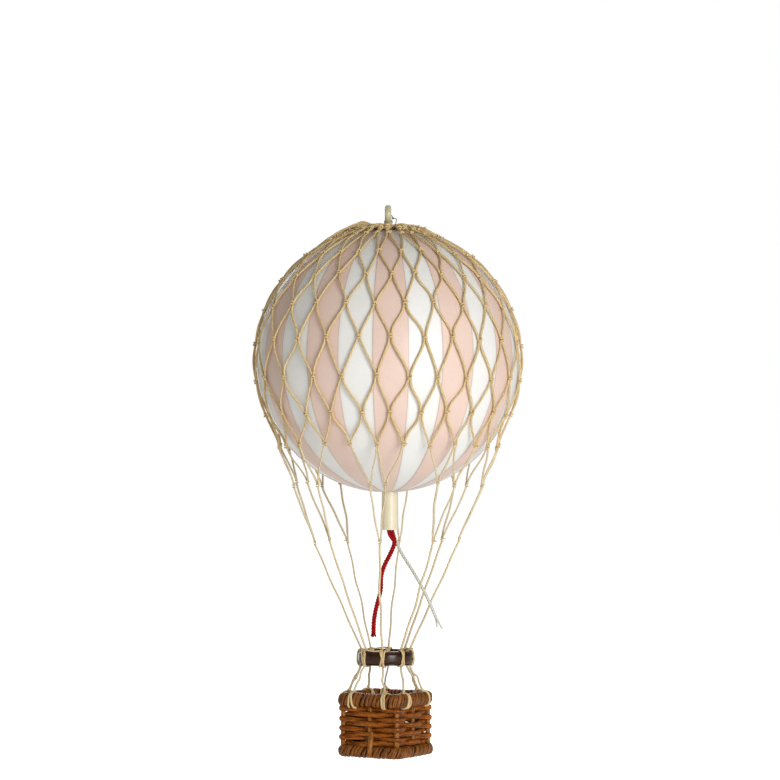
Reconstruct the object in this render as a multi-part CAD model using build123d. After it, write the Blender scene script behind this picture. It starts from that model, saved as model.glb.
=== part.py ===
from build123d import *
import os
from math import acos, cos, degrees, hypot, pi, radians, sin, sqrt, tan

# A small hanging hot-air balloon ornament: a hollow ball with paper gores, a knotted twine net over it,
# a turned load ring hung from the net and a square wicker basket hung from the ring.
# Millimetres, +Z up. The origin is the centre of the hole in the hanger eye.

# ---- hanger eye ----
eye_hole_r = 1.45
eye_outer_r = 2.6
eye_thickness = 1.7
eye_turn = 30.0  # direction of the eye's hole, degrees from +X
eye_edge_round = 0.5
neck_r = 1.1
neck_length = 1.38  # from the eye's rim down to the flange
flange_r = 1.5
flange_thickness = 0.4
stem_length = 3.0  # from the flange down into the ball
push_nut_r = 3.0
push_nut_thickness = 0.6
thread_r = 0.2
thread_drop = 0.15  # from the eye's rim down to the thread
thread_knot_r = 0.4
thread_knot_out = 1.7
thread_knot_lift = 0.3
thread_end_out = 2.5
thread_end_drop = 0.3

# ---- ball ----
ball_r = 35.0  # outside of the plastic shells
shell_wall = 1.2
lip_height = 2.0
lip_wall = 0.6
lip_root = 1.5
lip_overlap = 0.6
paper_thickness = 0.18
paper_gap = 0.02
gore_pairs = 12
gore_start = -65.9  # direction of the first pink gore's edge, degrees from +X
gore_split = 0.04  # open angle between two gores
gore_margin = 0.3  # from the flange and from the neck tube to the paper's cut edges

# ---- neck tube and cords ----
tube_x = 0.43
tube_y = 0.25
tube_length = 10.25
tube_bore_r = 1.5
tube_top_wall = 0.67
tube_bottom_wall = 0.82
spigot_wall = 0.3
spigot_length = 3.6
plug_height = 2.8
plug_depth = 6.7  # from the tube's mouth up to the plug
red_diameter = 1.15
white_diameter = 0.85
route_mouth_z = -84.7  # the height of the tube's mouth that the two routes are given for
red_route = [
    (0.86, -0.08, -78.0),
    (0.96, -0.16, -81.4),
    (1.15, -0.08, -85.0),
    (2.20, 0.22, -87.9),
    (1.28, -0.70, -90.9),
    (-0.21, -1.52, -94.0),
    (-1.15, -1.89, -97.2),
    (-1.05, -1.77, -100.6),
    (-1.82, -2.34, -103.9),
    (-2.40, -2.92, -107.2),
    (-2.66, -3.18, -110.3),
    (-2.58, -3.18, -112.2),
]
white_route = [
    (0.22, 0.71, -78.0),
    (0.38, 0.74, -81.2),
    (0.82, 0.88, -85.0),
    (1.93, 1.25, -88.2),
    (4.06, 0.99, -91.6),
    (6.87, 0.55, -94.9),
    (9.40, 0.18, -98.2),
    (11.58, -0.17, -101.4),
    (13.46, -0.22, -104.8),
    (14.94, -0.16, -108.0),
]
arc_share = 0.45

# ---- net ----
net_clearance = 0.3
twine_r = 0.325
net_columns = 24
crown_ring_twine_r = 0.4
crown_ring_margin = 0.4  # from the flange to the ring's twine
crown_ring_lift = 0.8  # above the paper, to the middle of the ring's twine
row_latitudes = [67.0, 50.5, 36.3, 22.1, 6.9, -9.1, -24.0]
first_row_phase = -59.1
second_row_phase = -66.6
crowding = 3.5  # degrees that the columns crowd together at the front and the back
crowding_centre = -49.6
knot_r = 0.6
seat_gap = 0.05
strand_seat = 0.15

# ---- gathering lines under the net ----
line_r = 0.25
hem_latitude = -37.7
hem_clearance = 2.4  # from the paper to the middle of a hem knot
gather_count = 8
gather_latitude = -52.3
gather_clearance = 6.5
gather_half_angle = 5.0
join_r = 19.0
join_drop = 13.1  # below the paper's lowest point
small_knot_r = 0.5

# ---- load ring ----
hang_x = -0.55  # the ring and basket hang a little to one side
hang_y = -0.32
ring_drop = 42.2  # from the paper's lowest point to the ring's top
ring_height = 3.8
ring_outer_r = 7.35
ring_inner_r = 5.75
ring_round = 0.5
lashing_twine = 0.6
lashing_width = 1.0

# ---- basket ----
basket_drop = 7.3  # from the ring's underside to the rim
basket_side = 19.8
border_width = 3.0
top_border_height = 3.5
bottom_border_height = 3.0
border_corner_r = 2.6
border_round = 1.2
stake_height = 10.3
stake_r = 0.6
weaver_rows = 8
weaver_width = 0.9
weaver_gap = 0.12  # between two rows
weaver_reach = 0.62  # of the wall, to where an outside strand bends
weaver_inner_reach = 2.6  # stake radii from the corner, to where an inside strand bends
wall_margin = 0.1  # from the border's edge to an outside strand
weaver_clearance = 0.05
weaver_corner_r = 0.9
tie_inset = 4.9  # from the basket's side to the middle of a tie
tie_twine = 0.6
tie_width = 0.9
base_strips = 5
base_strip_gap = 0.5
base_strip_height = 0.5
base_above_underside = 0.5

os.makedirs("parts", exist_ok=True)

# The ball's centre follows from the eye, its neck and its flange, which stands on the shell's crown.
ball_z = -(eye_outer_r + neck_length + flange_thickness + paper_gap) - ball_r
paper_r = ball_r + paper_gap + paper_thickness
gore_top_hole_r = flange_r + gore_margin
tube_top_r = tube_bore_r + tube_top_wall
tube_bottom_r = tube_bore_r + tube_bottom_wall
spigot_r = tube_bore_r + spigot_wall
gore_bottom_hole_r = tube_top_r + hypot(tube_x, tube_y) + gore_margin
net_r = paper_r + net_clearance + twine_r
strands_abreast_r = net_columns * (2 * twine_r + seat_gap) / (2 * pi)
crown_ring_r = max(
    flange_r + crown_ring_margin + crown_ring_twine_r,
    strands_abreast_r - crown_ring_twine_r - seat_gap,
)
crown_ring_z = paper_r + crown_ring_lift
hem_r = (paper_r + hem_clearance) * cos(radians(hem_latitude))
hem_z = (paper_r + hem_clearance) * sin(radians(hem_latitude))
gather_r = (paper_r + gather_clearance) * cos(radians(gather_latitude))
gather_z = (paper_r + gather_clearance) * sin(radians(gather_latitude))
join_z = -paper_r - join_drop
ball_place = Pos(0, 0, ball_z)
ring_top_z = ball_z - paper_r - ring_drop
ring_bottom_z = ring_top_z - ring_height
rim_z = ring_bottom_z - basket_drop
rim_under_z = rim_z - top_border_height
foot_top_z = rim_under_z - stake_height
foot_z = foot_top_z - bottom_border_height
tie_half_pitch = basket_side / 2 - tie_inset
hang = Pos(hang_x, hang_y, 0)


def write(name, solids):
    """Writes a sub-part's solids as one STEP file."""
    shape = solids[0] if len(solids) == 1 else Compound(children=solids)
    export_step(shape, f"parts/{name}.step")


def fused(pieces):
    """Joins touching pieces into one solid."""
    whole = pieces[0].fuse(*pieces[1:])
    return whole.solids()[0] if len(whole.solids()) == 1 else whole


def turned(radius, longitude, z):
    """A point at a radius and direction about the ball's axis."""
    return Vector(radius * cos(radians(longitude)), radius * sin(radians(longitude)), z)


def on_net(latitude, longitude):
    """A point on the net's sphere."""
    return turned(net_r * cos(radians(latitude)), longitude, ball_z + net_r * sin(radians(latitude)))


def rod(start, end, radius):
    """A straight run of twine from one point to another."""
    return Plane(origin=start, z_dir=end - start) * Cylinder(
        radius, (end - start).length, align=(Align.CENTER, Align.CENTER, Align.MIN)
    )


def arc_rod(start, end, radius):
    """A run of twine that lies on the net's sphere from one point to another."""
    centre = Vector(0, 0, ball_z)
    a, b = start - centre, end - centre
    return Plane(origin=centre, x_dir=a, z_dir=a.cross(b)) * Torus(
        net_r, radius, major_angle=a.get_angle(b), align=None
    )


def ball_at(point, radius):
    """A knot or junction as a small ball."""
    return Pos(*point) * Sphere(radius)


# ---- hanger ----
def hanger_eye():
    """A moulded eye on a neck, with a flange on the crown and a stem through it."""
    eye = Cylinder(eye_outer_r, eye_thickness)
    eye = fillet(eye.edges(), eye_edge_round)
    eye = eye - Cylinder(eye_hole_r, eye_thickness)
    eye = Rot(0, 0, eye_turn) * Rot(0, 90, 0) * eye
    solid_foot = (eye_hole_r + eye_outer_r) / 2
    flange_top = -eye_outer_r - neck_length
    under = (Align.CENTER, Align.CENTER, Align.MAX)
    neck = Pos(0, 0, -solid_foot) * Cylinder(neck_r, -flange_top - solid_foot, align=under)
    flange = Pos(0, 0, flange_top) * Cylinder(flange_r, flange_thickness, align=under)
    stem = Pos(0, 0, flange_top) * Cylinder(neck_r, flange_thickness + stem_length, align=under)
    return fused([eye, neck, flange, stem])


def push_nut():
    """A pressed washer that grips the stem inside the ball."""
    inner_r = ball_r - shell_wall
    top = ball_z + sqrt(inner_r**2 - push_nut_r**2) - seat_gap
    under = (Align.CENTER, Align.CENTER, Align.MAX)
    washer = Cylinder(push_nut_r, push_nut_thickness, align=under)
    washer = washer - Cylinder(neck_r + paper_gap, push_nut_thickness, align=under)
    return Pos(0, 0, top) * washer


def crown_tie():
    """A thread tied round the eye's neck, with its knot and a cut end."""
    tie_z = -eye_outer_r - thread_drop
    out = Vector(cos(radians(eye_turn)), sin(radians(eye_turn)), 0)
    knot = out * thread_knot_out + Vector(0, 0, tie_z + thread_knot_lift)
    end = out * thread_end_out + Vector(0, 0, -eye_hole_r - thread_end_drop)
    loop = Pos(0, 0, tie_z) * Torus(neck_r + thread_r + seat_gap, thread_r)
    return fused([loop, ball_at(knot, thread_knot_r), rod(knot, end, thread_r)])


# ---- ball ----
def half_shell(side):
    """One hollow half of the ball, side 1 for the upper and -1 for the lower."""
    hollow = Sphere(ball_r) - Sphere(ball_r - shell_wall)
    keep = Pos(0, 0, side * ball_r) * Box(3 * ball_r, 3 * ball_r, 2 * ball_r)
    return hollow & keep


def upper_shell():
    """The upper half, with the hole for the eye's stem."""
    hole = Pos(0, 0, ball_r - shell_wall) * Cylinder(neck_r + seat_gap, 4 * shell_wall)
    return ball_place * (half_shell(1) - hole)


def lower_shell():
    """The lower half, with the lip that the upper half fits over and the hole for the neck tube."""
    inner_r = ball_r - shell_wall
    lip_outer_r = sqrt(inner_r**2 - lip_height**2) - seat_gap
    lip_inner_r = lip_outer_r - lip_wall
    under = (Align.CENTER, Align.CENTER, Align.MAX)
    above = (Align.CENTER, Align.CENTER, Align.MIN)
    root = Cylinder(inner_r + lip_overlap, lip_root, align=under)
    root = root - Cylinder(lip_inner_r, lip_root, align=under)
    lip = Pos(0, 0, -lip_root / 2) * Cylinder(lip_outer_r, lip_height + lip_root / 2, align=above)
    lip = lip - Pos(0, 0, -lip_root) * Cylinder(lip_inner_r, 2 * lip_height + lip_root, align=above)
    hole = Pos(tube_x, tube_y, shell_wall - ball_r) * Cylinder(spigot_r + seat_gap, 4 * shell_wall)
    return ball_place * (half_shell(-1) + root + lip - hole)


def gore(edge):
    """One paper gore from the crown to the neck, with its first edge at a direction."""
    inner, outer = ball_r + paper_gap, paper_r
    top, bottom = gore_top_hole_r, gore_bottom_hole_r

    def at(radius, x, side):
        return (x, 0, side * sqrt(radius**2 - x**2))

    outline = make_face(
        [
            ThreePointArc(at(outer, top, 1), (outer, 0, 0), at(outer, bottom, -1)),
            Line(at(outer, bottom, -1), at(inner, bottom, -1)),
            ThreePointArc(at(inner, bottom, -1), (inner, 0, 0), at(inner, top, 1)),
            Line(at(inner, top, 1), at(outer, top, 1)),
        ]
    )
    angle = 180 / gore_pairs - gore_split
    return ball_place * Rot(0, 0, edge) * revolve(outline, Axis.Z, angle)


def gores(first):
    """Every second gore, starting with the one numbered first."""
    step = 180 / gore_pairs
    return [gore(gore_start + step * (first + 2 * k)) for k in range(gore_pairs)]


# ---- neck tube and cords ----
def tube_top_z():
    """The tube's shoulder, just under the ball."""
    return ball_z - ball_r - seat_gap


def neck_tube():
    """The moulded neck tube, with the spigot that holds it in the ball."""
    shoulder = tube_top_z()
    mouth = shoulder - tube_length
    outline = Polyline(
        (tube_bore_r, 0, mouth),
        (tube_bottom_r, 0, mouth),
        (tube_top_r, 0, shoulder),
        (spigot_r, 0, shoulder),
        (spigot_r, 0, shoulder + spigot_length),
        (tube_bore_r, 0, shoulder + spigot_length),
        close=True,
    )
    return Pos(tube_x, tube_y, 0) * revolve(make_face(outline), Axis.Z, 360)


def cord_plug():
    """The stopper in the tube that the two cords come out of."""
    under = tube_top_z() - tube_length + plug_depth
    return Pos(tube_x, tube_y, under) * Cylinder(
        tube_bore_r - paper_gap, plug_height, align=(Align.CENTER, Align.CENTER, Align.MIN)
    )


def cord(name, route, diameter):
    """A limp cord along straight runs joined by tangent arcs. Prints its arc radii and its length."""
    mouth = tube_top_z() - tube_length
    points = [Vector(x, y, z + mouth - route_mouth_z) for x, y, z in route]
    points[0] = Vector(points[0].X, points[0].Y, mouth + plug_depth)
    radii = []
    for before, here, after in zip(points, points[1:], points[2:]):
        turn = (here - before).get_angle(after - here)
        shorter = min((here - before).length, (after - here).length)
        radii.append(arc_share * shorter / tan(radians(turn / 2)))
    path = FilletPolyline(*points, radius=radii)
    section = Plane(origin=path @ 0, z_dir=path % 0) * Circle(diameter / 2)
    tube = sweep(section, path=path)
    print(name, "radii", [round(r, 1) for r in radii], "length", round(path.length, 2))
    print(name, "volume", round(tube.volume, 3), "section times length", round(section.area * path.length, 3))
    return tube


# ---- net ----
def row_phase(row):
    """The direction of a row's first knot. Rows lie in the gaps of the row above."""
    return first_row_phase if row % 2 == 0 else second_row_phase


def column(longitude):
    """A knot's direction: its even direction, moved to where the columns crowd together."""
    return longitude - crowding * sin(2 * radians(longitude - crowding_centre))


def net_knot(latitude, longitude):
    """A knot of the net, which stands on the ball as far off as the twine does."""
    centre = Vector(0, 0, ball_z)
    away = (on_net(latitude, longitude) - centre).normalized()
    return ball_at(centre + away * (paper_r + net_clearance + knot_r), knot_r)


def beside_knot(latitude, longitude, across, up):
    """The point on the net's sphere where a strand meets a knot: one side of it, over or under it."""
    over = degrees((knot_r + strand_seat) / net_r) * up
    aside = degrees((twine_r + seat_gap) / (net_r * cos(radians(latitude)))) * across
    return on_net(latitude + over, longitude + aside)


def net_crown():
    """The twine ring round the eye's neck, with a strand down to each knot of the first row."""
    ring = Pos(0, 0, ball_z + crown_ring_z) * Torus(crown_ring_r, crown_ring_twine_r)
    pieces = [ring]
    top_latitude = degrees(acos((crown_ring_r + crown_ring_twine_r + seat_gap) / net_r))
    over = degrees((knot_r + strand_seat) / net_r)
    for k in range(net_columns):
        longitude = column(row_phase(0) + 360 / net_columns * k)
        low = on_net(row_latitudes[0] + over, longitude)
        pieces.append(arc_rod(low, on_net(top_latitude, longitude), twine_r))
        pieces.append(net_knot(row_latitudes[0], longitude))
    return pieces


def net_row(row):
    """One course of the net: its knots, and two strands from each up to the knots above."""
    half_step = 180 / net_columns
    low, high = row_latitudes[row], row_latitudes[row - 1]
    pieces = []
    for k in range(net_columns):
        even = row_phase(row) + 2 * half_step * k
        longitude = column(even)
        pieces.append(net_knot(low, longitude))
        for side in (-1, 1):
            start = beside_knot(low, longitude, side, 1)
            end = beside_knot(high, column(even + side * half_step), -side, -1)
            pieces.append(arc_rod(start, end, twine_r))
    return pieces


def beside(knot, longitude, across, up):
    """The point beside a hanging knot where a line meets it: to one side, over or under it."""
    return knot + turned(across, longitude + 90, 0) + Vector(0, 0, up)


def hem_knot(longitude):
    """A knot of the lowest course, which hangs clear of the ball."""
    return turned(hem_r, longitude, ball_z + hem_z)


def net_hem():
    """The lowest course of the net, from its last row on the ball to knots that hang clear of it."""
    half_step = 180 / net_columns
    pieces = []
    for k in range(net_columns):
        even = row_phase(len(row_latitudes)) + 2 * half_step * k
        longitude = column(even)
        knot = hem_knot(longitude)
        pieces.append(ball_at(knot, knot_r))
        for side in (-1, 1):
            start = beside(knot, longitude, side * (twine_r + seat_gap), knot_r + strand_seat)
            end = beside_knot(row_latitudes[-1], column(even + side * half_step), -side, -1)
            pieces.append(rod(start, end, twine_r))
    return pieces


# ---- lines under the net ----
def gather_angle(group):
    """The direction of a group of three hem knots, of their joined line and of its lashing."""
    return row_phase(len(row_latitudes)) + 360 / gather_count * group


def gather_knot(group, side):
    """One of the two upper knots of a group."""
    return turned(gather_r, gather_angle(group) + side * gather_half_angle, ball_z + gather_z)


def join_knot(group):
    """The knot where a group's lines become one."""
    return turned(join_r, gather_angle(group), ball_z + join_z)


def ring_place(group):
    """The middle of the load ring's wall at a group's lashing."""
    middle = turned((ring_outer_r + ring_inner_r) / 2, gather_angle(group), ring_top_z)
    return middle + Vector(hang_x, hang_y, 0)


def gather_lines_upper():
    """Sixteen knots, each with two lines up to neighbouring hem knots."""
    pieces = []
    aside, over = line_r + seat_gap, small_knot_r + strand_seat
    for group in range(gather_count):
        middle = gather_angle(group)
        for side in (-1, 1):
            knot = gather_knot(group, side)
            outer = column(middle + side * 360 / net_columns)
            inner = column(middle)
            under_outer = beside(hem_knot(outer), outer, 0, -knot_r - strand_seat)
            under_inner = beside(hem_knot(inner), inner, side * aside, -knot_r - strand_seat)
            pieces.append(ball_at(knot, small_knot_r))
            pieces.append(rod(beside(knot, middle, side * aside, over), under_outer, line_r))
            pieces.append(rod(beside(knot, middle, -side * aside, over), under_inner, line_r))
    return pieces


def gather_lines_lower():
    """Eight knots, each with two lines up to the knots above it."""
    pieces = []
    aside, over = line_r + seat_gap, small_knot_r + strand_seat
    for group in range(gather_count):
        middle = gather_angle(group)
        knot = join_knot(group)
        pieces.append(ball_at(knot, small_knot_r))
        for side in (-1, 1):
            end = beside(gather_knot(group, side), middle, 0, -over)
            pieces.append(rod(beside(knot, middle, side * aside, over), end, line_r))
    return pieces


def trimmed(start, end, start_gap, end_gap):
    """The two points that many millimetres in from a run's ends."""
    along = (end - start).normalized()
    return start + along * start_gap, end - along * end_gap


def ring_lines():
    """Eight single lines from the joining knots to the lashings."""
    lines = []
    for group in range(gather_count):
        seat = ring_place(group) + Vector(0, 0, seat_gap + lashing_twine)
        start, end = trimmed(join_knot(group), seat, small_knot_r + seat_gap, line_r)
        lines.append(rod(start, end, line_r))
    return lines


# ---- load ring ----
def load_ring():
    """The turned hoop that gathers the net and carries the basket."""
    hoop = Cylinder(ring_outer_r, ring_height) - Cylinder(ring_inner_r, ring_height)
    hoop = fillet(hoop.edges().filter_by(GeomType.CIRCLE), ring_round)
    return hang * Pos(0, 0, ring_top_z - ring_height / 2) * hoop


def wrap(inside_width, inside_height, twine, width):
    """A turn of twine round a bar that runs along Y, as a closed frame in the XZ plane."""
    outer = Box(inside_width + 2 * twine, width, inside_height + 2 * twine)
    outer = fillet(outer.edges().filter_by(Axis.Y), twine)
    return outer - Box(inside_width, width, inside_height)


def ring_lashings():
    """Eight lashings round the hoop's wall."""
    turns = []
    for group in range(gather_count):
        centre = ring_place(group) - Vector(0, 0, ring_height / 2)
        wall = ring_outer_r - ring_inner_r
        frame = wrap(wall + 3 * seat_gap, ring_height + 2 * seat_gap, lashing_twine, lashing_width)
        turns.append(Pos(*centre) * Rot(0, 0, gather_angle(group)) * frame)
    return turns


# ---- basket ----
def tie_side(group):
    """The direction of the basket's side that a group's line comes down to. Each side takes two."""
    return 90 * ((group + 1) // 2 - 1)


def tie_place(group):
    """The middle of the rim's width where a group's line is tied, at height zero."""
    out = tie_side(group)
    along = tie_half_pitch if group % 2 == 0 else -tie_half_pitch
    seat = basket_side / 2 - border_width / 2
    return turned(seat, out, 0) + turned(along, out + 90, 0) + Vector(hang_x, hang_y, 0)


def basket_lines():
    """Eight lines from the ring's lashings down to the rim ties."""
    lines = []
    for group in range(gather_count):
        start = ring_place(group) - Vector(0, 0, ring_height + lashing_twine + seat_gap)
        end = tie_place(group) + Vector(0, 0, rim_z + tie_twine + seat_gap)
        lines.append(rod(*trimmed(start, end, line_r, line_r), line_r))
    return lines


def rim_ties():
    """Eight turns of twine round the basket's rim."""
    ties = []
    for group in range(gather_count):
        frame = wrap(border_width + 2 * seat_gap, top_border_height + 2 * seat_gap, tie_twine, tie_width)
        centre = tie_place(group) + Vector(0, 0, rim_z - top_border_height / 2)
        ties.append(Pos(*centre) * Rot(0, 0, tie_side(group)) * frame)
    return ties


def border(top, height):
    """A wrapped square border of the basket, from its top face down."""
    side, inner = basket_side, basket_side - 2 * border_width
    outline = RectangleRounded(side, side, border_corner_r)
    outline -= RectangleRounded(inner, inner, max(border_corner_r - border_width, 0.2))
    ring = extrude(outline, -height)
    outer_edges = ring.edges().filter_by(GeomType.LINE).filter_by(Axis.Z, reverse=True)
    outer_edges = [e for e in outer_edges if max(abs(e.center().X), abs(e.center().Y)) > inner / 2 + 1]
    arcs = [e for e in ring.edges().filter_by(GeomType.CIRCLE) if e.radius > border_corner_r - 0.01]
    ring = fillet(outer_edges + arcs, border_round)
    return hang * Pos(0, 0, top) * ring


def wall_line():
    """The distance from the basket's middle to the middle of its wall."""
    return basket_side / 2 - weaver_width - weaver_clearance - stake_r - wall_margin


def stakes():
    """Eight upright stakes, at the corners and at the middle of each side."""
    line = wall_line()
    spots = [(x, y) for x in (-line, 0, line) for y in (-line, 0, line) if x or y]
    length = stake_height - 2 * paper_gap
    return [
        hang * Pos(x, y, foot_top_z + paper_gap)
        * Cylinder(stake_r, length, align=(Align.CENTER, Align.CENTER, Align.MIN))
        for x, y in spots
    ]


def weaver(row):
    """One strand of cane round the basket, outside the corner stakes in one row and inside in the next."""
    offset = stake_r + weaver_clearance + weaver_width / 2
    corner_sign = 1 if row % 2 == 0 else -1
    corner = wall_line() + corner_sign * offset
    middle = wall_line() - corner_sign * offset
    flat = stake_r + weaver_width
    bend = wall_line() * weaver_reach
    if corner_sign < 0:
        bend = corner - stake_r * weaver_inner_reach - weaver_width
    quarter = [(-bend, -corner), (-flat, -middle), (flat, -middle), (bend, -corner), (corner, -corner)]
    points = []
    for turn in range(4):
        for x, y in quarter:
            spin = radians(90 * turn)
            points.append((x * cos(spin) - y * sin(spin), x * sin(spin) + y * cos(spin)))
    path = FilletPolyline(*points, radius=weaver_corner_r, close=True)
    outer = make_face(offset_wire(path, weaver_width / 2))
    inner = make_face(offset_wire(path, -weaver_width / 2))
    under_ties = tie_twine + 3 * seat_gap
    pitch = (stake_height - under_ties) / weaver_rows
    top = rim_under_z - under_ties - pitch * row
    band = extrude(outer - inner, -(pitch - weaver_gap))
    return hang * Pos(0, 0, top) * band


def offset_wire(path, amount):
    """The closed outline that lies a distance outside a closed path."""
    return offset(path, amount=amount, kind=Kind.ARC).edges()


def basket_base():
    """The woven floor: flat strips one way over flat strips the other way."""
    half = basket_side / 2 - border_width - seat_gap
    pitch = (2 * half + base_strip_gap) / base_strips
    width = pitch - base_strip_gap
    strips = []
    for k in range(base_strips):
        across = -half + width / 2 + pitch * k
        strips.append(Pos(0, across, 0) * Box(2 * half, width, base_strip_height))
        strips.append(Pos(across, 0, base_strip_height) * Box(width, 2 * half, base_strip_height))
    lift = foot_z + base_above_underside + base_strip_height / 2
    return hang * Pos(0, 0, lift) * fused(strips)


write("hanger_eye", [hanger_eye()])
write("push_nut", [push_nut()])
write("crown_tie", [crown_tie()])
write("upper_shell", [upper_shell()])
write("lower_shell", [lower_shell()])
write("gores_pink", gores(0))
write("gores_white", gores(1))
write("neck_tube", [neck_tube()])
write("cord_plug", [cord_plug()])
write("red_cord", [cord("red_cord", red_route, red_diameter)])
write("white_cord", [cord("white_cord", white_route, white_diameter)])
write("net_crown", net_crown())
for number in range(1, len(row_latitudes)):
    write(f"net_row_{number + 1}", net_row(number))
write("net_hem", net_hem())
write("gather_lines_upper", gather_lines_upper())
write("gather_lines_lower", gather_lines_lower())
write("ring_lines", ring_lines())
write("load_ring", [load_ring()])
write("ring_lashings", ring_lashings())
write("basket_lines", basket_lines())
write("rim_ties", rim_ties())
write("top_border", [border(rim_z, top_border_height)])
write("bottom_border", [border(foot_top_z, bottom_border_height)])
write("stakes", stakes())
for row in range(weaver_rows):
    write(f"weaver_{row + 1}", [weaver(row)])
write("basket_base", [basket_base()])
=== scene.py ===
import random
from math import acos, cos, degrees, pi, radians, sin, sqrt

import bpy
import numpy as np
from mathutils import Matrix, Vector


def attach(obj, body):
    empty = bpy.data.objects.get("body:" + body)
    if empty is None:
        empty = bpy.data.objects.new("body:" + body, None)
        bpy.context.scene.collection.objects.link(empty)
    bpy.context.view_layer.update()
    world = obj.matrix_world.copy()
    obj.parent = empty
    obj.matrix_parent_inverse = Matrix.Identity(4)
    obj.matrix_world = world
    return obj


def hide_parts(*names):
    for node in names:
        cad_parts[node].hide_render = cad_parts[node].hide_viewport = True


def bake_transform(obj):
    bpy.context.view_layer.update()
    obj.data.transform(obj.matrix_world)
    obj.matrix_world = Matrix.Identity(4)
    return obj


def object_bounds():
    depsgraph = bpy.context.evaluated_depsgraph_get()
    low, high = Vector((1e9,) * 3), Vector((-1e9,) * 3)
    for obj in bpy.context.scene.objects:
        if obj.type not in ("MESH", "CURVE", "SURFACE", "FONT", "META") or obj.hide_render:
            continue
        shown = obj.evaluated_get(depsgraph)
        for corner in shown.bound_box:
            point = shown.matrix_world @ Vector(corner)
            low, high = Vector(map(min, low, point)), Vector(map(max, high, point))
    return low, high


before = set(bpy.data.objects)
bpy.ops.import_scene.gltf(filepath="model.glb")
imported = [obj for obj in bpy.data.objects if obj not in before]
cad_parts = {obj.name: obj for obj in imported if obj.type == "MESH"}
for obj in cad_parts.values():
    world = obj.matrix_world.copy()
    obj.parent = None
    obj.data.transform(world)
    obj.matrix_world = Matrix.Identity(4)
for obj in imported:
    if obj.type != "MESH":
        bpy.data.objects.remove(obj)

cad_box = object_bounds()


def feed(node, given):
    """Sets a shader node's inputs, each to a value or to another node's output."""
    for key, value in given.items():
        if isinstance(value, bpy.types.NodeSocket):
            node.id_data.links.new(value, node.inputs[key])
        else:
            node.inputs[key].default_value = value


def added(tree, kind, given=None, **settings):
    """A new shader node with its settings made and its inputs fed."""
    node = tree.nodes.new("ShaderNode" + kind)
    for setting, value in settings.items():
        setattr(node, setting, value)
    feed(node, given or {})
    return node


def worked(tree, operation, *values):
    """The output of a new math node."""
    return added(tree, "Math", dict(enumerate(values)), operation=operation).outputs[0]


def mixed(tree, share, first, second):
    """The output of a new node that mixes two colours."""
    return added(tree, "Mix", {"Factor": share, 6: first, 7: second}, data_type="RGBA").outputs[2]


# ---------------------------------------------------------------------------------------------------
# The studio. None of it is part of the ornament, which hangs free of everything: a white floor well
# below the basket, a white surround, a large soft light from the front and right, a weak one from behind.
mm = 0.001
camera_turn = radians(30.4)
camera_distance = 0.7
eye_level = -74.0 * mm
aim_height = -47.2 * mm
aim_aside = 0.54 * mm
frame_width = 0.2092
sensor = 36.0

toward = Vector((sin(camera_turn), -cos(camera_turn), 0))
rightward = Vector((cos(camera_turn), sin(camera_turn), 0))
scene = bpy.context.scene
scene.view_settings.view_transform = "Standard"
bpy.ops.object.select_all(action="DESELECT")
eye_spot = toward * camera_distance + rightward * aim_aside + Vector((0, 0, eye_level))
bpy.ops.object.camera_add(location=eye_spot)
camera = bpy.context.object
aim = rightward * aim_aside + Vector((0, 0, aim_height))
camera.rotation_euler = (aim - camera.location).to_track_quat("-Z", "Y").to_euler()
camera.data.sensor_width = sensor
camera.data.lens = sensor * camera_distance / frame_width
camera.data.clip_start = 0.01
scene.camera = camera

floor_drop = 0.06
floor_size = 12.0
floor_glow = 0.32
floor_shown_glow = 0.68
bpy.ops.mesh.primitive_plane_add(size=floor_size, location=(0, 0, cad_box[0][2] - floor_drop))
floor = bpy.context.object
floor.name = "studio_floor"
floor_paint = bpy.data.materials.new("floor paint")
floor_paint.use_nodes = True
floor_tree = floor_paint.node_tree
floor_rays = added(floor_tree, "LightPath").outputs["Is Camera Ray"]
feed(floor_tree.nodes["Principled BSDF"], {
    "Base Color": (0.9, 0.9, 0.9, 1),
    "Roughness": 0.9,
    "Emission Color": (1, 1, 1, 1),
    "Emission Strength": worked(floor_tree, "MULTIPLY_ADD", floor_rays, floor_shown_glow, floor_glow),
})
floor.data.materials.append(floor_paint)

surround_glow = 0.26
surround = bpy.data.worlds.new("surround")
surround.use_nodes = True
sky = surround.node_tree
seen = sky.nodes["Background"]
feed(seen, {"Color": (1, 1, 1, 1)})
lit = added(sky, "Background", {"Color": (1, 0.97, 0.9, 1), "Strength": surround_glow})
rays = added(sky, "LightPath").outputs["Is Camera Ray"]
which = added(sky, "MixShader", {"Fac": rays, 1: lit.outputs[0], 2: seen.outputs[0]})
feed(sky.nodes["World Output"], {"Surface": which.outputs[0]})
scene.world = surround


def soft_light(name, aside, front, up, size, power):
    """A square area light that faces the ball, placed from the camera's own directions."""
    spot = rightward * aside + toward * front + Vector((0, 0, up))
    bpy.ops.object.light_add(type="AREA", location=spot)
    light = bpy.context.object
    light.name = name
    light.rotation_euler = (Vector((0, 0, aim_height)) - spot).to_track_quat("-Z", "Y").to_euler()
    light.data.size = size
    light.data.energy = power


soft_light("key_light", 0.41, 0.78, 0.06, 0.4, 4.9)
soft_light("back_light", -0.2, -0.9, 0.1, 0.6, 2.4)


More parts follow.
